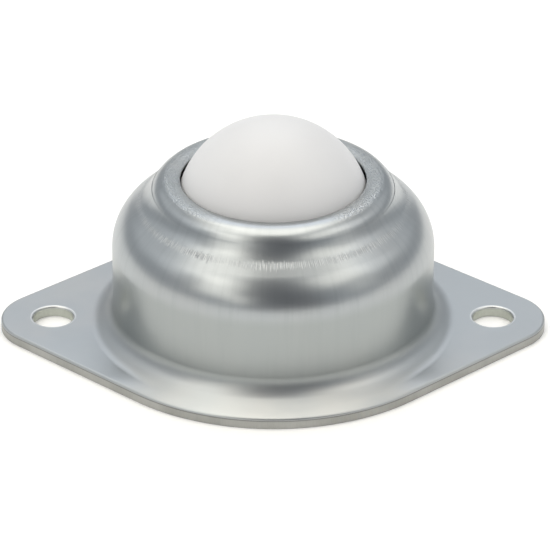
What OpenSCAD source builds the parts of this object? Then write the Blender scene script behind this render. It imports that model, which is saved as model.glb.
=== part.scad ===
// Ball transfer unit with a two-hole flange, load ball upwards.
// Z = 0 is the mounting face under the flange. The Z axis runs through the load ball's centre,
// and the two fixing holes lie on the X axis.

/* [Load ball] */
// Diameter of the load ball
ball_d = 25.4; // [22:0.1:30]

/* [Bearing balls] */
// Diameter of each small bearing ball
bearing_d = 3.175; // [2.8:0.005:3.6]
// Running gap on each side of a bearing ball, to the load ball and to the cup
run_gap = 0.05; // [0.02:0.01:0.1]
// Gap between neighbouring bearing balls
bed_gap = 0.07; // [0.03:0.01:0.15]
// Angle from the bottom at which the uppermost row of bearing balls lies
bed_top_a = 80; // [66:1:84]

/* [Raceway cup] */
// Thickness of the hardened cup
cup_t = 1; // [0.8:0.05:1.3]
// Height of the cup's lowest point above the mounting face
cup_lift = 0.125; // [0.05:0.025:1]
// Depth of the cup's rim below the load ball's centre
cup_rim_drop = 1.7; // [1.3:0.05:2.2]
// Inner radius of the bend between the cup's bowl and its rim
cup_bend_r = 0.6; // [0.4:0.05:0.8]

/* [Housing sheet] */
// Thickness of the housing's sheet
sheet_t = 1.5; // [1.2:0.05:1.8]
// Room between the cup's bowl and the inside of the round wall
wall_room = 2.6; // [2.3:0.05:3]
// Outer radius of the shoulder above the round wall
shoulder_r = 7.1; // [6.4:0.05:7.8]
// Outer radius of the hollow between the shoulder and the lip
neck_r = 5.5; // [4.6:0.1:6.4]
// Angle above the lip's widest point at which the hollow begins
neck_a = 25; // [18:1:30]
// Outer radius of the rolled lip round the load ball
lip_r = 2.75; // [2.5:0.05:3]
// Angle through which the lip is rolled inwards
lip_turn = 116; // [105:1:120]
// Height of the lip's bend centre above the load ball's centre
lip_rise = 2.4; // [2.1:0.05:2.8]
// Gap between the lip's edge and the load ball
lip_gap = 0.27; // [0.2:0.01:0.4]
// Outer radius of the bend between the round wall and the flange
foot_r = 3; // [2.2:0.1:3.6]

/* [Flange] */
// Distance from the outside of the round wall to each fixing hole's centre
hole_reach = 7.925; // [7.5:0.025:12]
// Diameter of the fixing holes
hole_d = 5.3; // [4.5:0.1:6]
// Radius of the flange's ends, round the fixing holes
ear_r = 6.85; // [6:0.05:9]
// Width of the flange in front of the round wall
flange_w = 5.1; // [4.6:0.1:8]
// Radius of the rolled-over upper edges left by blanking
edge_roll = 0.3; // [0.1:0.05:0.4]

/* [Base ring] */
// Thickness of the pressed ring that holds the cup
ring_t = 1.2; // [1:0.05:1.5]
// Height of the ring's underside above the mounting face
ring_z = 3.6; // [3:0.1:4.2]
// Height of the ring's collar, from its underside
ring_h = 5; // [4:0.1:6]
// Outer radius of the ring's bend
ring_bend_r = 2; // [1.6:0.1:2.5]
// Seating gap where the ring, the cup and the housing meet
seat_gap = 0.01; // [0:0.01:0.03]

/* [Hidden] */
$fn = 72;
arc_step = 5;      // degrees between points on the bends
bowl_step = 3;     // degrees between points on the cup's bowl
roll_step = 30;    // degrees between points on the rolled-over edges
past = 1;          // how far a cutter runs past the faces that it cuts
own_node_rows = 4; // rows, from the bottom, whose bearing balls are nodes of their own

// Load ball, bed and cup
ball_r = ball_d / 2;
bed_r = ball_r + run_gap + bearing_d / 2;
cup_in_r = ball_r + 2 * run_gap + bearing_d;
cup_out_r = cup_in_r + cup_t;
ball_z = cup_lift + cup_out_r;
cup_rim_z = ball_z - cup_rim_drop;
cup_bend_z = cup_rim_z - cup_t - cup_bend_r;
cup_bend_a = asin((ball_z - cup_bend_z) / (cup_out_r + cup_bend_r));
cup_bend_x = (cup_out_r + cup_bend_r) * cos(cup_bend_a);

// Housing: the lip is placed from the load ball, and the shoulder joins it to the wall
bore_r = cup_out_r + wall_room;
wall_r = bore_r + sheet_t;
lip_z = ball_z + lip_rise;
lip_edge_z = lip_z + lip_r * sin(lip_turn);
lip_edge_x = sqrt(pow(ball_r + lip_gap, 2) - pow(lip_edge_z - ball_z, 2));
lip_x = lip_edge_x - lip_r * cos(lip_turn);
neck_x = lip_x + (lip_r + neck_r) * cos(neck_a);
neck_z = lip_z + (lip_r + neck_r) * sin(neck_a);
shoulder_x = wall_r - shoulder_r;
shoulder_a = acos((neck_x - shoulder_x) / (shoulder_r + neck_r));
shoulder_z = neck_z - (shoulder_r + neck_r) * sin(shoulder_a);

// Flange: round ends and a round middle, joined by their common tangents
foot_x = wall_r + foot_r;
hole_x = wall_r + hole_reach;
disc_r = wall_r + flange_w;
tangent_a = acos((disc_r - ear_r) / hole_x);
foot_join_r = foot_x + (disc_r - edge_roll - foot_x) / 2;

// Cup rim and base ring
rim_seat_r = shoulder_x + sqrt(pow(shoulder_r - sheet_t, 2) - pow(cup_rim_z - shoulder_z, 2));
cup_rim_r = min(rim_seat_r, bore_r) - seat_gap;
ring_r = bore_r - seat_gap;
ring_seat_r = cup_out_r + seat_gap;

// Bed: rows of bearing balls, spread evenly from the single ball at the bottom to the uppermost
// row. Six balls fit round the bottom one, and a row takes as many as its circle has room for.
bed_pitch = bearing_d + bed_gap;
rows = floor(bed_top_a / asin(bed_pitch / bed_r));
row_a = bed_top_a / rows;
function row_r(i) = bed_r * sin(i * row_a);
function row_count(i) = i == 0 ? 1 : floor(180 / asin(bed_pitch / 2 / row_r(i)));
function ball_node(i, k) = str("bearing_ball_", i, "_", k);
function row_node(i) = str("bearing_row_", i);

// Points along an arc about c, from angle a0 to angle a1
function arc(c, r, a0, a1, step) =
    let (n = ceil(abs(a1 - a0) / step))
    [for (i = [0 : n]) let (a = a0 + (a1 - a0) * i / n) c + r * [cos(a), sin(a)]];

function reverse(points) = [for (i = [len(points) - 1 : -1 : 0]) points[i]];

// One face of the drawn sheet, from the lip's edge down to the flange. Each bend keeps its
// centre, and depth moves the face from the outside into the sheet.
function sheet_face(depth) = concat(
    arc([lip_x, lip_z], lip_r - depth, lip_turn, neck_a, arc_step),
    arc([neck_x, neck_z], neck_r + depth, 180 + neck_a, 180 + shoulder_a, arc_step),
    arc([shoulder_x, shoulder_z], shoulder_r - depth, shoulder_a, 0, arc_step),
    arc([foot_x, sheet_t + foot_r], foot_r + depth, 180, 270, arc_step)
);

// The flange's outline, moved inwards by inset
function flange_outline(inset) = concat(
    arc([hole_x, 0], ear_r - inset, -tangent_a, tangent_a, arc_step),
    arc([0, 0], disc_r - inset, tangent_a, 180 - tangent_a, arc_step),
    arc([-hole_x, 0], ear_r - inset, 180 - tangent_a, 180 + tangent_a, arc_step),
    arc([0, 0], disc_r - inset, 180 + tangent_a, 360 - tangent_a, arc_step)
);

// A flat plate whose upper edge is rolled over, built as rings of outline points
module rolled_plate() {
    // each ring's inset from the outline and its height
    rings = concat([[0, 0]], [for (a = [0 : roll_step : 90])
        [edge_roll * (1 - cos(a)), sheet_t - edge_roll * (1 - sin(a))]]);
    n = len(flange_outline(0));
    top = len(rings) - 1;
    points = [for (ring = rings) for (p = flange_outline(ring[0])) [p[0], p[1], ring[1]]];
    sides = [for (j = [0 : top - 1]) for (i = [0 : n - 1])
        let (next = (i + 1) % n)
        [j * n + i, (j + 1) * n + i, (j + 1) * n + next, j * n + next]];
    floor_face = [for (i = [0 : n - 1]) i];
    top_face = [for (i = [n - 1 : -1 : 0]) top * n + i];
    polyhedron(points, concat([floor_face, top_face], sides));
}

// Cutter for one fixing hole, with the rolled edge at its mouth
module fixing_hole() {
    mouth_r = hole_d / 2 + edge_roll;
    roll_z = sheet_t - edge_roll;
    translate([0, 0, -past])
        cylinder(d = hole_d, h = sheet_t + 2 * past);
    rotate_extrude()
        polygon(concat(
            [[0, roll_z]],
            arc([mouth_r, roll_z], edge_roll, 180, 90, roll_step),
            [[mouth_r, sheet_t + past], [0, sheet_t + past]]
        ));
}

// Drawn housing: lip, neck, shoulder, wall and flange are one sheet
module housing() {
    color("#aab4ba")
    difference() {
        union() {
            rotate_extrude()
                polygon(concat(
                    sheet_face(0),
                    [[foot_join_r, sheet_t], [foot_join_r, 0]],
                    reverse(sheet_face(sheet_t))
                ));
            difference() {
                rolled_plate();
                translate([0, 0, -past])
                    cylinder(r = foot_x, h = sheet_t + 2 * past);
            }
        }
        for (side = [-1, 1])
            translate([side * hole_x, 0, 0])
                fixing_hole();
    }
}

// Hardened bowl that the bearing balls run in, with a turned-out rim under the shoulder
module raceway_cup() {
    color("#8d9297")
    rotate_extrude()
        polygon(concat(
            arc([0, ball_z], cup_in_r, -90, -cup_bend_a, bowl_step),
            arc([cup_bend_x, cup_bend_z], cup_t + cup_bend_r, 180 - cup_bend_a, 90, arc_step),
            [[cup_rim_r, cup_rim_z], [cup_rim_r, cup_rim_z - cup_t]],
            arc([cup_bend_x, cup_bend_z], cup_bend_r, 90, 180 - cup_bend_a, arc_step),
            arc([0, ball_z], cup_out_r, -cup_bend_a, -90, bowl_step)
        ));
}

// Pressed ring in the housing's bore that carries the cup
module base_ring() {
    bend = [ring_r - ring_bend_r, ring_z + ring_bend_r];
    color("#a2a9ad")
    rotate_extrude()
        difference() {
            polygon(concat(
                [[0, ring_z]],
                arc(bend, ring_bend_r, 270, 360, arc_step),
                [[ring_r, ring_z + ring_h], [ring_r - ring_t, ring_z + ring_h]],
                arc(bend, ring_bend_r - ring_t, 360, 270, arc_step),
                [[0, ring_z + ring_t]]
            ));
            translate([0, ball_z])
                circle(r = ring_seat_r);
        }
}

module load_ball() {
    color("#f2f2f0")
    translate([0, 0, ball_z])
        sphere(d = ball_d);
}

// Bearing ball k of row i, on the sphere of radius bed_r round the load ball's centre
module bearing_ball(i, k) {
    color("#c4c8cc")
    translate([0, 0, ball_z])
        rotate([0, 0, 360 * k / row_count(i)])
            translate([row_r(i), 0, -bed_r * cos(i * row_a)])
                sphere(d = bearing_d, $fn = 36);
}

module bearing_row(i) {
    for (k = [0 : row_count(i) - 1])
        bearing_ball(i, k);
}

housing();
raceway_cup();
base_ring();
load_ball();
for (i = [0 : own_node_rows - 1])
    for (k = [0 : row_count(i) - 1])
        bearing_ball(i, k);
for (i = [own_node_rows : rows])
    bearing_row(i);
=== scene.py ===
"""Looks for the ball transfer unit, in metres and in the CAD model's own frame."""

import math

import bpy
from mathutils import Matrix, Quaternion, Vector
from mathutils.geometry import delaunay_2d_cdt


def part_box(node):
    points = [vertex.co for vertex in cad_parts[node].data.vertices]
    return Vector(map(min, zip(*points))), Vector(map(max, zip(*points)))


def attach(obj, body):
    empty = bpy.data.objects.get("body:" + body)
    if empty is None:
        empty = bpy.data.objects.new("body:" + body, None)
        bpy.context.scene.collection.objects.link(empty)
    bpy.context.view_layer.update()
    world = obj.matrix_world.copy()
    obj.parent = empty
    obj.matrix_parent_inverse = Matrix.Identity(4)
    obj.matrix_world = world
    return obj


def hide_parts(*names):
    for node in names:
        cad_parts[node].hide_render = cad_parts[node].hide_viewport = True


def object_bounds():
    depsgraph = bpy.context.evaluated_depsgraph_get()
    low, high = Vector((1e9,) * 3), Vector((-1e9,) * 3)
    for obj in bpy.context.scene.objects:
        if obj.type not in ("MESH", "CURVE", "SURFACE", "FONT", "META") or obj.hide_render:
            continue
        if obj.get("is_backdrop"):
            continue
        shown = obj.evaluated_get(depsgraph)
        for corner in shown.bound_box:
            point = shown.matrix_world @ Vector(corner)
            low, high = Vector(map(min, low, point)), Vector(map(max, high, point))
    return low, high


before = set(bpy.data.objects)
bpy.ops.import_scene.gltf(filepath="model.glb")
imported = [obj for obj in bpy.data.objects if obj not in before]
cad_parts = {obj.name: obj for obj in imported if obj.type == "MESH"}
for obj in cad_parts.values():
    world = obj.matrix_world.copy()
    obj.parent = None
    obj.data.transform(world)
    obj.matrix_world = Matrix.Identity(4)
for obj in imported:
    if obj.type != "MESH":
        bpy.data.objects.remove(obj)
cad_low, cad_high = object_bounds()


def cosd(a):
    return math.cos(math.radians(a))


def sind(a):
    return math.sin(math.radians(a))


# ---------------------------------------------------------------- named sizes
# lengths in metres, angles in degrees
MM = 0.001
ball_low, ball_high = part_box("load_ball")
BALL_R = (ball_high.z - ball_low.z) / 2
BALL_Z = (ball_high.z + ball_low.z) / 2
HALF_LENGTH = cad_high.x

# the housing sheet, with the same named sizes as the CAD source
SHEET_T = 1.5 * MM
WALL_R = 21.075 * MM
SHOULDER_R = 7.1 * MM
NECK_R = 5.5 * MM
NECK_A = 25
LIP_R = 2.75 * MM
LIP_TURN = 116
LIP_RISE = 2.4 * MM
LIP_GAP = 0.27 * MM
FOOT_R = 3 * MM
EAR_R = 6.85 * MM
HOLE_R = 2.65 * MM
EDGE_ROLL = 0.3 * MM

# small roundings left to this file: on the underside's cut edges and on the lip's cut edge
BURR_R = 0.07 * MM
LIP_EDGE_R = 0.14 * MM

# centres of the section's bends, from the ball outwards
LIP_Z = BALL_Z + LIP_RISE
lip_edge_z = LIP_Z + LIP_R * sind(LIP_TURN)
lip_edge_x = math.sqrt((BALL_R + LIP_GAP) ** 2 - (lip_edge_z - BALL_Z) ** 2)
LIP_X = lip_edge_x - LIP_R * cosd(LIP_TURN)
NECK_X = LIP_X + (LIP_R + NECK_R) * cosd(NECK_A)
NECK_Z = LIP_Z + (LIP_R + NECK_R) * sind(NECK_A)
SHOULDER_X = WALL_R - SHOULDER_R
SHOULDER_A = math.degrees(math.acos((NECK_X - SHOULDER_X) / (SHOULDER_R + NECK_R)))
SHOULDER_Z = NECK_Z - (SHOULDER_R + NECK_R) * sind(SHOULDER_A)
FOOT_X = WALL_R + FOOT_R
FOOT_Z = SHEET_T + FOOT_R

# the drawn sheet runs straight for a moment between the groove and the shoulder, at this slope;
# each of the two bends gives way to it by half of this depth, less than a tenth of a millimetre
STRAIGHT_A = 50
STRAIGHT_DEPTH = (SHOULDER_R + NECK_R) * (1 - cosd(SHOULDER_A - STRAIGHT_A))

# the flange's outline
HOLE_X = HALF_LENGTH - EAR_R
DISC_R = cad_high.y
TANGENT_A = math.degrees(math.acos((DISC_R - EAR_R) / HOLE_X))

# how the narrow front and back of the flange lean: from this slope, by this share, and between
# these sines of the turn away from the holes
DISH_FROM = 55
DISH_SHARE = 0.75
DISH_SIDE = 0.56
DISH_FULL = 0.87
# circles that carry the lean across the flange's top
DISH_CIRCLES = (24.7 * MM, 25.5 * MM)

# mesh density: rows and columns, and the turn between rows
LATHE_STEPS = 360
HOLE_STEPS = 96
FOOT_POINTS = 25
WALL_ROWS = 6
LIP_EDGE_ROWS = 4
CUT_ROWS = 4
ROLL_STEP = 15
BURR_STEP = 30
OUTLINE_STEP = 2.5
SIDE_LENGTH = 1.2 * MM
INNER_FOOT_STEP = 7.5
INNER_LIP_STEP = 12
INNER_STEP = 5
OUTER_LIP_STEP = 4
OUTER_STEP = 3

# on flat faces the normal keeps this much of a level direction, so that it can be leaned
LEAST = 1e-4
# share of an opening's radius that still counts as its edge
SNUG = 0.9999
# triangles of less area than this are left out, in square metres
SLIVER = 1e-6 * MM

# the housing's material slots
ZINC, SHEARED = 0, 1


# ---------------------------------------------------------------- housing mesh
def arc(cx, cz, r, a0, a1, step, flip=1):
    """Profile points (x, z, nx, nz) along an arc. flip -1 turns the normals inwards."""
    n = max(1, math.ceil(abs(a1 - a0) / step))
    out = []
    for i in range(n + 1):
        a = a0 + (a1 - a0) * i / n
        c, s = cosd(a), sind(a)
        out.append((cx + r * c, cz + r * s, flip * c, flip * s))
    return out


def around(steps):
    """Directions (cos, sin) evenly round a circle."""
    turn = [2 * math.pi * k / steps for k in range(steps)]
    return [(math.cos(a), math.sin(a)) for a in turn]


def lip_edge():
    """The lip's cut edge: two small roundings with the flat cut between them."""
    c, s = cosd(LIP_TURN), sind(LIP_TURN)
    along = (-s, c)
    e = LIP_EDGE_R
    out = []
    for r, a0, a1 in ((LIP_R - SHEET_T + e, 180, 90), (LIP_R - e, 90, 0)):
        cx = LIP_X + r * c - e * along[0]
        cz = LIP_Z + r * s - e * along[1]
        for i in range(LIP_EDGE_ROWS + 1):
            a = a0 + (a1 - a0) * i / LIP_EDGE_ROWS
            nx = cosd(a) * c + sind(a) * along[0]
            nz = cosd(a) * s + sind(a) * along[1]
            out.append((cx + e * nx, cz + e * nz, nx, nz))
    return out


def sheet_profile():
    """The sheet's section as (x, z, nx, nz): up the inside, round the lip's edge and down the
    outside. It ends with the foot's FOOT_POINTS."""
    t = SHEET_T
    give = STRAIGHT_DEPTH / 2
    inside = (
        arc(FOOT_X, FOOT_Z, FOOT_R + t, 270, 180, INNER_FOOT_STEP)
        + arc(SHOULDER_X, SHOULDER_Z, SHOULDER_R - t - give, 0, STRAIGHT_A, INNER_STEP, -1)
        + arc(NECK_X, NECK_Z, NECK_R + t - give, 180 + STRAIGHT_A, 180 + NECK_A, INNER_STEP)
        + arc(LIP_X, LIP_Z, LIP_R - t, NECK_A, LIP_TURN - INNER_LIP_STEP, INNER_LIP_STEP, -1)
    )
    # the outside starts one degree past the lip edge's rounding
    start = LIP_TURN - math.degrees(LIP_EDGE_R / LIP_R) - 1
    outside = (
        arc(LIP_X, LIP_Z, LIP_R, start, NECK_A, OUTER_LIP_STEP)
        + arc(NECK_X, NECK_Z, NECK_R - give, 180 + NECK_A, 180 + STRAIGHT_A, OUTER_STEP, -1)
        + arc(SHOULDER_X, SHOULDER_Z, SHOULDER_R - give, STRAIGHT_A, 0, OUTER_STEP)
    )
    foot = arc(FOOT_X, FOOT_Z, FOOT_R, 180, 270, 90 / (FOOT_POINTS - 1), -1)
    # the straight wall gets a few rows of its own
    x, top = outside[-1][:2]
    drop = foot[0][1] - top
    wall = [(x, top + drop * i / WALL_ROWS, 1, 0) for i in range(1, WALL_ROWS)]
    return inside + lip_edge() + outside + wall + foot


def edge_section():
    """Section of the flange's edge as (inset, z, out, up, slot), with out and up for the normal:
    rolled over at the top face, straight down the cut, round to the underside. slot is the
    material of the band that follows the row."""
    rows = []
    for a in range(90, -1, -ROLL_STEP):
        c, s = cosd(a), sind(a)
        slot = ZINC if a else SHEARED
        rows.append((EDGE_ROLL * (1 - c), SHEET_T - EDGE_ROLL * (1 - s), c, s, slot))
    top = SHEET_T - EDGE_ROLL
    for k in range(1, CUT_ROWS):
        rows.append((0, top - (top - BURR_R) * k / CUT_ROWS, 1, 0, SHEARED))
    for a in range(0, -91, -BURR_STEP):
        c, s = cosd(a), sind(a)
        rows.append((BURR_R * (1 - c), BURR_R * (1 + s), c, s, ZINC))
    return rows


def outline():
    """The flange's outline as (x, y, nx, ny), anticlockwise, with its straight sides divided."""
    arcs = (
        (HOLE_X, EAR_R, -TANGENT_A, TANGENT_A),
        (0, DISC_R, TANGENT_A, 180 - TANGENT_A),
        (-HOLE_X, EAR_R, 180 - TANGENT_A, 180 + TANGENT_A),
        (0, DISC_R, 180 + TANGENT_A, 360 - TANGENT_A),
    )
    points = []
    for cx, r, a0, a1 in arcs:
        points += arc(cx, 0, r, a0, a1, OUTLINE_STEP)
    out = []
    for i, (x, y, nx, ny) in enumerate(points):
        out.append((x, y, nx, ny))
        x1, y1 = points[(i + 1) % len(points)][:2]
        n = max(1, round(math.hypot(x1 - x, y1 - y) / SIDE_LENGTH))
        for k in range(1, n):
            out.append((x + (x1 - x) * k / n, y + (y1 - y) * k / n, nx, ny))
    return out


def dished(x, y, nx, ny, nz):
    """Leans the normal at (x, y) on the flange's top outwards in front and behind, where the narrow
    flange is dished by drawing. It leaves the ears flat and moves no point."""
    if nz <= 0:
        return nx, ny, nz
    flat = math.hypot(nx, ny)
    rise = math.degrees(math.atan2(nz, flat))
    if rise <= DISH_FROM:
        return nx, ny, nz
    w = (abs(y) / math.hypot(x, y) - DISH_SIDE) / (DISH_FULL - DISH_SIDE)
    w = min(1, max(0, w))
    w = w * w * (3 - 2 * w)
    rise = DISH_FROM + (rise - DISH_FROM) * (1 - DISH_SHARE * w)
    k = cosd(rise) / flat
    return nx * k, ny * k, sind(rise)


def metal(inner, hole):
    """A test for flat metal: outside the round middle and both fixing holes, of these radii."""
    def keep(x, y):
        from_hole = math.hypot(abs(x) - HOLE_X, y)
        return math.hypot(x, y) > SNUG * inner and from_hole > SNUG * hole
    return keep


class Shell:
    """Collects vertices with exact normals, and faces with a material slot."""

    def __init__(self):
        self.co, self.no, self.faces, self.slots = [], [], [], []

    def ring(self, points, normals):
        """Adds one closed ring and returns the numbers of its vertices."""
        first = len(self.co)
        self.co += points
        self.no += normals
        return range(first, len(self.co))

    def band(self, a, b, slot=ZINC):
        """Closes the gap between two rings of the same length."""
        for i in range(len(a)):
            j = (i + 1) % len(a)
            self.faces.append((a[i], a[j], b[j], b[i]))
            self.slots.append(slot)

    def plate(self, rings, keep, up):
        """Fills the flat area between rings. keep(x, y) tells metal from opening."""
        ids = [i for ring in rings for i in ring]
        at = {v: k for k, v in enumerate(ids)}
        edges = [(at[a], at[b]) for ring in rings for a, b in zip(ring, [*ring[1:], ring[0]])]
        flat = [Vector(self.co[i][:2]) for i in ids]
        points, _, faces, sources = delaunay_2d_cdt(flat, edges, [], 0, 1e-9)[:4]
        for face in faces:
            a, b, c = [ids[sources[k][0]] for k in face]
            x, y = [(self.co[a][m] + self.co[b][m] + self.co[c][m]) / 3 for m in (0, 1)]
            p, q, r = [points[k] for k in face]
            if keep(x, y) and abs((q - p).cross(r - p)) >= SLIVER:
                self.faces.append((a, b, c) if up else (a, c, b))
                self.slots.append(ZINC)

    def piece(self, name, materials):
        mesh = bpy.data.meshes.new(name)
        mesh.from_pydata(self.co, [], self.faces)
        for material in materials:
            mesh.materials.append(material)
        mesh.polygons.foreach_set("material_index", self.slots)
        mesh.polygons.foreach_set("use_smooth", [True] * len(self.faces))
        mesh.update()
        mesh.normals_split_custom_set_from_vertices(self.no)
        piece = bpy.data.objects.new(name, mesh)
        bpy.context.scene.collection.objects.link(piece)
        return piece


def build_housing(materials):
    shell = Shell()
    turn = around(LATHE_STEPS)
    profile = sheet_profile()
    rings = []
    for i, (x, z, nx, nz) in enumerate(profile):
        if i < len(profile) - FOOT_POINTS:
            normals = [(nx * c, nx * s, nz) for c, s in turn]
        else:
            flat = max(nx, LEAST)
            normals = [dished(c, s, flat * c, flat * s, nz) for c, s in turn]
        rings.append(shell.ring([(x * c, x * s, z) for c, s in turn], normals))
    for a, b in zip(rings, rings[1:]):
        shell.band(b, a)
    # the edge's section along the flange's outline
    section = edge_section()
    side = outline()
    border = []
    for inset, z, out, rise, _ in section:
        flat = max(out, LEAST)
        border.append(shell.ring(
            [(x - inset * nx, y - inset * ny, z) for x, y, nx, ny in side],
            [dished(x, y, flat * nx, flat * ny, rise) for x, y, nx, ny in side],
        ))
    for row, a, b in zip(section, border, border[1:]):
        shell.band(b, a, row[-1])
    # and the same section round each fixing hole
    tops, bottoms = [], []
    for x0 in (-HOLE_X, HOLE_X):
        hole = []
        for inset, z, out, rise, _ in section:
            r = HOLE_R + inset
            hole.append(shell.ring(
                [(x0 + r * c, r * s, z) for c, s in around(HOLE_STEPS)],
                [(-out * c, -out * s, rise) for c, s in around(HOLE_STEPS)],
            ))
        for row, a, b in zip(section, hole, hole[1:]):
            shell.band(a, b, row[-1])
        tops.append(hole[0])
        bottoms.append(hole[-1])
    leaned = [dished(c, s, LEAST * c, LEAST * s, 1) for c, s in turn]
    dish = [shell.ring([(r * c, r * s, SHEET_T) for c, s in turn], leaned) for r in DISH_CIRCLES]
    shell.band(dish[0], rings[-1])
    shell.band(dish[1], dish[0])
    shell.plate([dish[1], border[0], *tops], metal(DISH_CIRCLES[1], HOLE_R + EDGE_ROLL), True)
    shell.plate([rings[0], border[-1], *bottoms], metal(FOOT_X, HOLE_R + BURR_R), False)
    return shell.piece("housing_shell", materials)


# ---------------------------------------------------------------- materials
class Nodes:
    """A short way to write a node tree: most calls add a node and return one of its outputs."""

    def __init__(self, owner, kind="Material"):
        owner.use_nodes = True
        self.owner = owner
        self.tree = owner.node_tree
        self.tree.nodes.clear()
        self.output = self.tree.nodes.new("ShaderNodeOutput" + kind)

    def put(self, value, socket):
        if isinstance(value, bpy.types.NodeSocket):
            self.tree.links.new(value, socket)
        else:
            socket.default_value = value

    def add(self, kind, _out=0, _set=None, **sockets):
        """i0, i1 and so on mean a socket by its number, other words mean it by its name."""
        node = self.tree.nodes.new("ShaderNode" + kind)
        for key, value in (_set or {}).items():
            setattr(node, key, value)
        for key, value in sockets.items():
            numbered = key[0] == "i" and key[1:].isdigit()
            self.put(value, node.inputs[int(key[1:]) if numbered else key.replace("_", " ")])
        return node.outputs[_out]

    def place(self):
        """The position in the object's own coordinates."""
        return self.add("TexCoord", _out="Object")

    def split(self, vector):
        return list(self.add("SeparateXYZ", i0=vector).node.outputs)

    def join(self, x, y, z):
        return self.add("CombineXYZ", X=x, Y=y, Z=z)

    def math(self, op, a, b=0.0):
        return self.add("Math", _set={"operation": op}, i0=a, i1=b)

    def times(self, value, *factors):
        for factor in factors:
            value = self.math("MULTIPLY", value, factor)
        return value

    def plus(self, a, b):
        return self.math("ADD", a, b)

    def minus(self, a, b):
        return self.math("SUBTRACT", a, b)

    def length(self, x, y):
        return self.math("SQRT", self.plus(self.times(x, x), self.times(y, y)))

    def noise(self, place, scale, detail, rough, distortion=0.0):
        return self.add("TexNoise", Vector=place, Scale=scale, Detail=detail, Roughness=rough,
                        Distortion=distortion)

    def line_noise(self, value, detail, rough):
        """Noise along a number."""
        return self.add("TexNoise", _set={"noise_dimensions": "1D"}, W=value, Scale=1.0,
                        Detail=detail, Roughness=rough, Distortion=0.0)

    def remap(self, value, a, b, lo=0.0, hi=1.0):
        """Smoothly from lo at a to hi at b, and level beyond."""
        return self.add("MapRange", _set={"interpolation_type": "SMOOTHSTEP"},
                        Value=value, From_Min=a, From_Max=b, To_Min=lo, To_Max=hi)

    def mix(self, share, a, b):
        return self.add("Mix", _out=2, _set={"data_type": "RGBA"}, i0=share, i6=a, i7=b)

    def bump(self, height, relief, where=None, normal=None):
        """Relief of this strength and depth, over a part of the surface and another relief."""
        strength, depth = relief
        if where is not None:
            strength = self.times(where, strength)
        under = {} if normal is None else {"Normal": normal}
        return self.add("Bump", Strength=strength, Distance=depth, Height=height, **under)

    def surface(self, shader):
        self.put(shader, self.output.inputs["Surface"])
        return self.owner

    def coated(self, colour, roughness, normal, metallic=1.0):
        return self.surface(self.add("BsdfPrincipled", Base_Color=colour, Metallic=metallic,
                                     Roughness=roughness, Normal=normal))


def rgb(r, g, b):
    return (r, g, b, 1.0)


# zinc: two tones of stain, then what lies over them, with the share it takes
ZINC_STAINS = rgb(0.425, 0.447, 0.455), rgb(0.452, 0.460, 0.456)
CLOUD_TONE, CLOUD_SHARE = rgb(0.398, 0.420, 0.432), 0.55
STREAK_TONE, STREAK_SHARE = rgb(0.375, 0.395, 0.402), 0.45
# painted shade on the drawn wall, standing in for the darker floor that it mirrors
PAINTED_WALL_SHADE_TONE, PAINTED_WALL_SHADE_SHARE = rgb(0.345, 0.367, 0.358), 0.7
# painted highlight on the rolled mouths of the fixing holes
MOUTH_PAINTED_HIGHLIGHT_TONE, MOUTH_PAINTED_HIGHLIGHT_SHARE = rgb(0.68, 0.69, 0.68), 0.8
# the stretch marks are real and their relief is bump; their ticks are painted lighter as glints,
# with painted shade between them
MARK_PAINTED_GLINT_TONE, MARK_PAINTED_GLINT_SHARE = rgb(0.66, 0.67, 0.67), 0.65
BETWEEN_PAINTED_SHADE_TONE, BETWEEN_PAINTED_SHADE_SHARE = rgb(0.25, 0.26, 0.27), 0.25
# roughness, to which the streaks, the marks with the lip's grain, and the foot add. Below 0.274
# the denoiser follows what the metal mirrors and draws dotted lines, so it stays above that.
ZINC_ROUGH = 0.288, 0.312
STREAK_ROUGH = 0.03
MARKED_ROUGH = 0.05
FOOT_ROUGH = 0.10
# pairs of heights between which a look fades in
STREAKS_IN = 2.0 * MM, 5.0 * MM
# between these heights the painted wall shade fades in and out again
WALL_SHADE_IN = 2.6 * MM, 4.2 * MM
WALL_SHADE_OUT = 13.6 * MM, 11.6 * MM
FOOT_IN = 9.0 * MM, 4.0 * MM
# streaks per radian round the Z axis and per metre of height
STREAKS_ROUND, STREAKS_UP = 26.0, 60.0
# the drawn sheet shows stretch marks between these heights, with soft and uneven ends, outside
# this radius; then the number per radian of ticks, of steps in their ends and of denser patches
MARKS_LOW = 18.4 * MM
MARKS_HIGH = 18.9 * MM
MARKS_SOFT = 0.2 * MM
MARKS_UNEVEN = 1.0 * MM
MARKS_RADIUS = 16.0 * MM, 16.4 * MM
TICKS, STEPS, PATCHES = 110.0, 70.0, 2.2
# the lip's grain, by the distance outside and above the lip bend's centre, and by the cosine of
# the turn away from the line through the fixing holes
LIP_OUT = 1.6 * MM, 0.3 * MM
LIP_UP = 0.6 * MM, 1.6 * MM
LIP_SIDES = 0.35, 0.80
# how far the painted highlight on the fixing holes' rims reaches on the plated face, and their
# lighter walls on the cut
MOUTH_HIGHLIGHT_REACH = 0.25 * MM
PUNCH_REACH = 0.4 * MM
RIM_FADE = 0.2 * MM

# the cut edge: two tones of drag, the burnished strip under the rolled edge with its painted dark
# reflection, the punched holes
EDGE_TONES = rgb(0.355, 0.355, 0.335), rgb(0.425, 0.425, 0.405)
BURNISH_PAINTED_DARK_TONE, BURNISH_PAINTED_DARK_SHARE = rgb(0.16, 0.16, 0.165), 0.75
BURNISH_DARK_IN = SHEET_T - 0.55 * MM, SHEET_T - 0.36 * MM
PUNCH_TONE = rgb(0.53, 0.55, 0.50)
EDGE_ROUGH = 0.38, 0.52
DRAG_STRETCH = 0.12

NYLON_TONES = rgb(0.690, 0.690, 0.700), rgb(0.705, 0.705, 0.715)
NYLON_ROUGH = 0.46, 0.56

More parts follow.
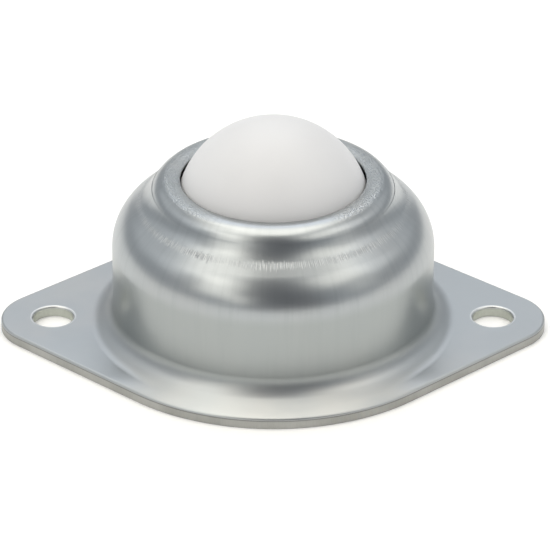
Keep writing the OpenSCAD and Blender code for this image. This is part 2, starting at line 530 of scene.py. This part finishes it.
# relief, as strength and depth
ZINC_RELIEF = 0.035, 0.06 * MM
MARKS_RELIEF = 0.6, 0.06 * MM
LIP_RELIEF = 0.8, 0.08 * MM
EDGE_RELIEF = 0.25, 0.06 * MM
FINE_RELIEF = 0.06, 0.05 * MM


def polar(n):
    """Position as distance from the Z axis, angle round it and height."""
    x, y, z = n.split(n.place())
    return n.length(x, y), n.math("ARCTAN2", y, x), z


def near_hole(n, reach):
    """1 within this distance of a fixing hole's wall, falling to 0 soon after."""
    x, y, _ = n.split(n.place())
    away = n.length(n.minus(n.math("ABSOLUTE", x), HOLE_X), y)
    return n.remap(away, HOLE_R + reach + RIM_FADE, HOLE_R + reach)


def stretch_marks(n, radius, angle, z):
    """Short upright ticks of uneven height round the shoulder's start, as (where, tick)."""
    tick = n.remap(n.line_noise(n.times(angle, TICKS), detail=1.0, rough=0.5), 0.42, 0.62)
    uneven = n.line_noise(n.times(angle, STEPS), detail=2.0, rough=0.6)
    z = n.plus(z, n.times(n.minus(uneven, 0.5), MARKS_UNEVEN))
    patch = n.line_noise(n.times(angle, PATCHES), detail=2.0, rough=0.5)
    where = n.times(
        n.remap(z, MARKS_LOW - MARKS_SOFT, MARKS_LOW + MARKS_SOFT),
        n.remap(z, MARKS_HIGH + MARKS_SOFT, MARKS_HIGH - MARKS_SOFT),
        n.remap(radius, *MARKS_RADIUS),
        n.remap(patch, 0.36, 0.62, 0.3, 1.0),
    )
    return where, tick


def lip_grain(n, radius, angle, z):
    """Where the lip beside the ball shows grain: on the sides that face the fixing holes."""
    return n.times(
        n.remap(radius, *(LIP_X + d for d in LIP_OUT)),
        n.remap(z, *(LIP_Z + d for d in LIP_UP)),
        n.remap(n.math("ABSOLUTE", n.math("COSINE", angle)), *LIP_SIDES),
    )


def zinc(name):
    """Satin zinc plating on drawn sheet: faint clouds and upright streaks, stretch marks where the
    groove meets the shoulder, and grain on the lip beside the ball. Painted shade darkens the
    upright wall, a painted highlight lightens the holes' rolled mouths, and the stretch marks carry
    painted glints with painted shade between them."""
    n = Nodes(bpy.data.materials.new(name))
    place = n.place()
    radius, angle, z = polar(n)
    cloud = n.noise(place, scale=90.0, detail=3.0, rough=0.55)
    stain = n.noise(place, scale=34.0, detail=2.0, rough=0.5, distortion=0.6)
    grain = n.noise(place, scale=2600.0, detail=3.0, rough=0.6)
    peel = n.noise(place, scale=700.0, detail=2.0, rough=0.5)
    upright = n.join(n.times(angle, STREAKS_ROUND), n.times(z, STREAKS_UP), 0.0)
    streak = n.noise(upright, scale=1.0, detail=3.0, rough=0.6)
    where, tick = stretch_marks(n, radius, angle, z)
    lip = lip_grain(n, radius, angle, z)

    colour = n.mix(n.remap(stain, 0.4, 0.62), *ZINC_STAINS)
    colour = n.mix(n.remap(cloud, 0.42, 0.66, 0.0, CLOUD_SHARE), colour, CLOUD_TONE)
    streaks = n.times(n.remap(z, *STREAKS_IN), n.remap(streak, 0.45, 0.66, 0.0, STREAK_SHARE))
    colour = n.mix(streaks, colour, STREAK_TONE)
    # painted shade: the drawn wall is darkened and tinted faintly green, standing in for the darker
    # floor that it mirrors
    wall = n.times(n.remap(z, *WALL_SHADE_OUT), n.remap(z, *WALL_SHADE_IN), PAINTED_WALL_SHADE_SHARE)
    colour = n.mix(wall, colour, PAINTED_WALL_SHADE_TONE)
    # painted highlight: the rolled mouths of the fixing holes are lightened, standing in for the
    # overhead lamp's highlight on their rims
    colour = n.mix(n.times(near_hole(n, MOUTH_HIGHLIGHT_REACH), MOUTH_PAINTED_HIGHLIGHT_SHARE), colour, MOUTH_PAINTED_HIGHLIGHT_TONE)
    # painted glints: the stretch marks' ticks are lightened, and painted shade darkens the band
    # between them
    colour = n.mix(n.times(where, tick, MARK_PAINTED_GLINT_SHARE), colour, MARK_PAINTED_GLINT_TONE)
    between = n.times(where, n.minus(1.0, tick), BETWEEN_PAINTED_SHADE_SHARE)
    colour = n.mix(between, colour, BETWEEN_PAINTED_SHADE_TONE)

    rough = n.remap(cloud, 0.3, 0.7, *ZINC_ROUGH)
    rough = n.plus(rough, n.times(n.minus(streak, 0.5), STREAK_ROUGH))
    rough = n.plus(rough, n.times(n.plus(where, lip), MARKED_ROUGH))
    # the foot and the flange are drawn less and stay duller
    rough = n.plus(rough, n.remap(z, *FOOT_IN, 0.0, FOOT_ROUGH))

    normal = n.bump(n.plus(n.times(grain, 0.4), n.times(peel, 0.6)), ZINC_RELIEF)
    normal = n.bump(tick, MARKS_RELIEF, where, normal)
    speck = n.remap(n.noise(place, scale=4000.0, detail=1.0, rough=0.5), 0.38, 0.62)
    normal = n.bump(speck, LIP_RELIEF, lip, normal)
    return n.coated(colour, rough, normal)


def cut_edge(name):
    """Blanked edge of the sheet: upright drag marks, warmer and duller than the plated faces, and
    a painted dark reflection on the burnished strip under the rolled edge.
    """
    n = Nodes(bpy.data.materials.new(name))
    place = n.place()
    x, y, z = n.split(place)
    stretched = n.join(x, y, n.times(z, DRAG_STRETCH))
    drag = n.noise(stretched, scale=5200.0, detail=3.0, rough=0.6)
    soft = n.noise(place, scale=160.0, detail=2.0, rough=0.5)
    colour = n.mix(n.remap(soft, 0.35, 0.65), *EDGE_TONES)
    # painted dark reflection: the burnished strip under the rolled edge is real, its near-black
    # tone stands in for the dark surroundings that it mirrors
    colour = n.mix(n.times(n.remap(z, *BURNISH_DARK_IN), BURNISH_PAINTED_DARK_SHARE), colour, BURNISH_PAINTED_DARK_TONE)
    # the punched walls of the fixing holes are given a lighter, faintly olive tone
    colour = n.mix(near_hole(n, PUNCH_REACH), colour, PUNCH_TONE)
    return n.coated(colour, n.remap(drag, 0.3, 0.7, *EDGE_ROUGH), n.bump(drag, EDGE_RELIEF))


def nylon(name):
    """White nylon with a soft ground surface."""
    n = Nodes(bpy.data.materials.new(name))
    cloud = n.noise(n.place(), scale=120.0, detail=2.0, rough=0.5)
    grain = n.noise(n.place(), scale=3200.0, detail=3.0, rough=0.6)
    colour = n.mix(n.remap(cloud, 0.35, 0.65), *NYLON_TONES)
    rough = n.remap(grain, 0.3, 0.7, *NYLON_ROUGH)
    return n.coated(colour, rough, n.bump(grain, FINE_RELIEF), metallic=0.0)


def steel(name, base, roughness, lines):
    """Plain machined or pressed steel: cloudy tone and fine lines round the Z axis."""
    n = Nodes(bpy.data.materials.new(name))
    radius, angle, z = polar(n)
    cloud = n.noise(n.place(), scale=150.0, detail=3.0, rough=0.55)
    turned = n.join(radius, n.times(angle, 0.0006), z)
    line = n.noise(turned, scale=lines, detail=3.0, rough=0.6)
    darker = rgb(*[0.9 * c for c in base])
    colour = n.mix(n.remap(cloud, 0.35, 0.65), darker, rgb(*base))
    rough = n.remap(line, 0.3, 0.7, roughness - 0.04, roughness + 0.05)
    return n.coated(colour, rough, n.bump(line, FINE_RELIEF))


housing = build_housing([zinc("zinc_sheet"), cut_edge("sheared_edge")])
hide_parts("housing")
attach(housing, "housing_assembly")

looks = {
    "load_ball": nylon("load_ball_nylon_look"),
    "raceway_cup": steel("cup_steel_look", (0.40, 0.41, 0.43), 0.28, 5200.0),
    "base_ring": steel("ring_steel_look", (0.47, 0.49, 0.505), 0.30, 4200.0),
}
bearing = steel("bearing_steel_look", (0.62, 0.63, 0.65), 0.12, 3000.0)
for name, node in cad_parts.items():
    if name == "housing":
        continue
    look = looks.get(name, bearing)
    if node.data.materials:
        for k in range(len(node.data.materials)):
            node.data.materials[k] = look
    else:
        node.data.materials.append(look)

# ---------------------------------------------------------------- floor and light
FLOOR_SIDE = 3.2
FLOOR_DROP = 0.02 * MM
FLOOR_LIFT = 0.06  # what the lamps leave short of white on the floor


def seen(n):
    """1 for rays from the camera and for those that metal or glass sends on, else 0."""
    rays = n.add("LightPath").node.outputs
    sent_on = n.math("MAXIMUM", rays["Is Glossy Ray"], rays["Is Transmission Ray"])
    return n.math("MAXIMUM", rays["Is Camera Ray"], sent_on)


bpy.ops.mesh.primitive_plane_add(size=FLOOR_SIDE, location=(0, 0, -FLOOR_DROP))
floor = bpy.context.object
floor.name = "floor"
paint = Nodes(bpy.data.materials.new("pale_floor"))
matt = paint.add("BsdfDiffuse", Color=rgb(0.97, 0.97, 0.97), Roughness=0.0)
lift = paint.add("Emission", Color=rgb(1, 1, 1), Strength=paint.times(seen(paint), FLOOR_LIFT))
floor.data.materials.append(paint.surface(paint.add("AddShader", i0=matt, i1=lift)))
floor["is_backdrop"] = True

# each soft lamp, 1 m from the ball: azimuth from the front (0) to the right (90), height angle,
# width, height, strength and tint
WARM = (1.0, 0.945, 0.84)
PLAIN = (1.0, 1.0, 1.0)
COOL = (0.95, 0.98, 1.05)
LAMPS = {
    "top_left": (-115, 66, 0.60, 0.45, 0.95, WARM),
    "left": (-62, 56, 0.55, 0.55, 1.25, WARM),
    "left_front": (-42, 35, 0.44, 0.62, 1.42, WARM),
    "left_low": (-24, 17, 0.24, 0.28, 1.10, WARM),
    "left_back": (-125, 28, 0.60, 0.40, 0.35, PLAIN),
    "right_back": (125, 28, 0.60, 0.40, 0.30, PLAIN),
    "left_side": (-88, 38, 0.50, 0.48, 0.50, PLAIN),
    "right": (60, 48, 0.62, 0.45, 1.30, WARM),
    "right_low": (66, 22, 0.34, 0.38, 0.42, WARM),
    "right_side": (92, 40, 0.42, 0.50, 0.70, PLAIN),
    "top_right": (115, 68, 0.60, 0.40, 0.60, WARM),
    "back": (180, 46, 0.75, 0.52, 1.25, COOL),
    "back_top": (180, 72, 0.80, 0.36, 1.60, WARM),
    "overhead": (0, 86, 0.60, 0.40, 1.95, WARM),
}
for name, (azimuth, height, wide, high, strength, tint) in LAMPS.items():
    level = cosd(height)
    away = Vector((sind(azimuth) * level, -cosd(azimuth) * level, sind(height)))
    light = bpy.data.lights.new(name, "AREA")
    light.shape = "RECTANGLE"
    light.size, light.size_y = wide, high
    light.energy = strength * math.pi * wide * high
    light.color = tint
    lamp = bpy.data.objects.new(name, light)
    lamp.location = Vector((0, 0, BALL_Z)) + away
    lamp.rotation_euler = (-away).to_track_quat("-Z", "Y").to_euler()
    bpy.context.scene.collection.objects.link(lamp)

# the surroundings: an even pale grey, with a darker upright patch in front, where the
# photographer stands. The patch stands this far to the right, leans to the left as it rises and
# fades between these half widths, all as slopes from the view straight ahead.
SKY = rgb(0.465, 0.490, 0.515)
SKY_FRONT = rgb(0.145, 0.150, 0.165)
FRONT_ASIDE = 0.28
FRONT_LEAN = 0.40
FRONT_HALF = 0.9, 0.15
FRONT_IN = 0.1, 0.45  # it fades in with the forward part of the direction

sky = Nodes(bpy.data.worlds.new("studio"), "World")
x, y, z = sky.split(sky.add("TexCoord"))
forward = sky.times(y, -1.0)
middle = sky.minus(FRONT_ASIDE, sky.times(z, FRONT_LEAN))
aside = sky.math("DIVIDE", x, sky.math("MAXIMUM", forward, 0.001))
aside = sky.math("ABSOLUTE", sky.minus(aside, middle))
front = sky.times(sky.remap(forward, *FRONT_IN), sky.remap(aside, *FRONT_HALF))
grey = sky.mix(front, SKY, SKY_FRONT)
bpy.context.scene.world = sky.surface(sky.add("Background", Color=grey, Strength=1.0))
bpy.context.scene.view_settings.view_transform = "Standard"

# ---------------------------------------------------------------- camera
VIEW_ELEVATION = 29.75
VIEW_YAW = 0.216
VIEW_ROLL = 0.146
VIEW_DISTANCE = 488.8 * MM
FOCAL = 3698.6  # focal length in picture points
PICTURE = 550  # picture width in the same points
SENSOR = 36  # sensor width in millimetres
# how far the picture's centre lies right of and above the origin, as slopes of the sight line
AIM = (1.88 / FOCAL, 51.22 / FOCAL)

back = Vector((
    -sind(VIEW_YAW) * cosd(VIEW_ELEVATION),
    -cosd(VIEW_YAW) * cosd(VIEW_ELEVATION),
    sind(VIEW_ELEVATION),
))
right = Vector((0, 0, 1)).cross(back).normalized()
up = back.cross(right)
sight = (-back + right * AIM[0] + up * AIM[1]).normalized()
lens = bpy.data.cameras.new("camera")
lens.sensor_width = SENSOR
lens.lens = SENSOR * (FOCAL / PICTURE)
lens.clip_start, lens.clip_end = 0.01, 20
camera = bpy.data.objects.new("camera", lens)
camera.location = back * VIEW_DISTANCE
camera.rotation_mode = "QUATERNION"
roll = Quaternion((0, 0, 1), math.radians(VIEW_ROLL))
camera.rotation_quaternion = sight.to_track_quat("-Z", "Y") @ roll
bpy.context.scene.collection.objects.link(camera)
bpy.context.scene.camera = camera

low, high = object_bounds()
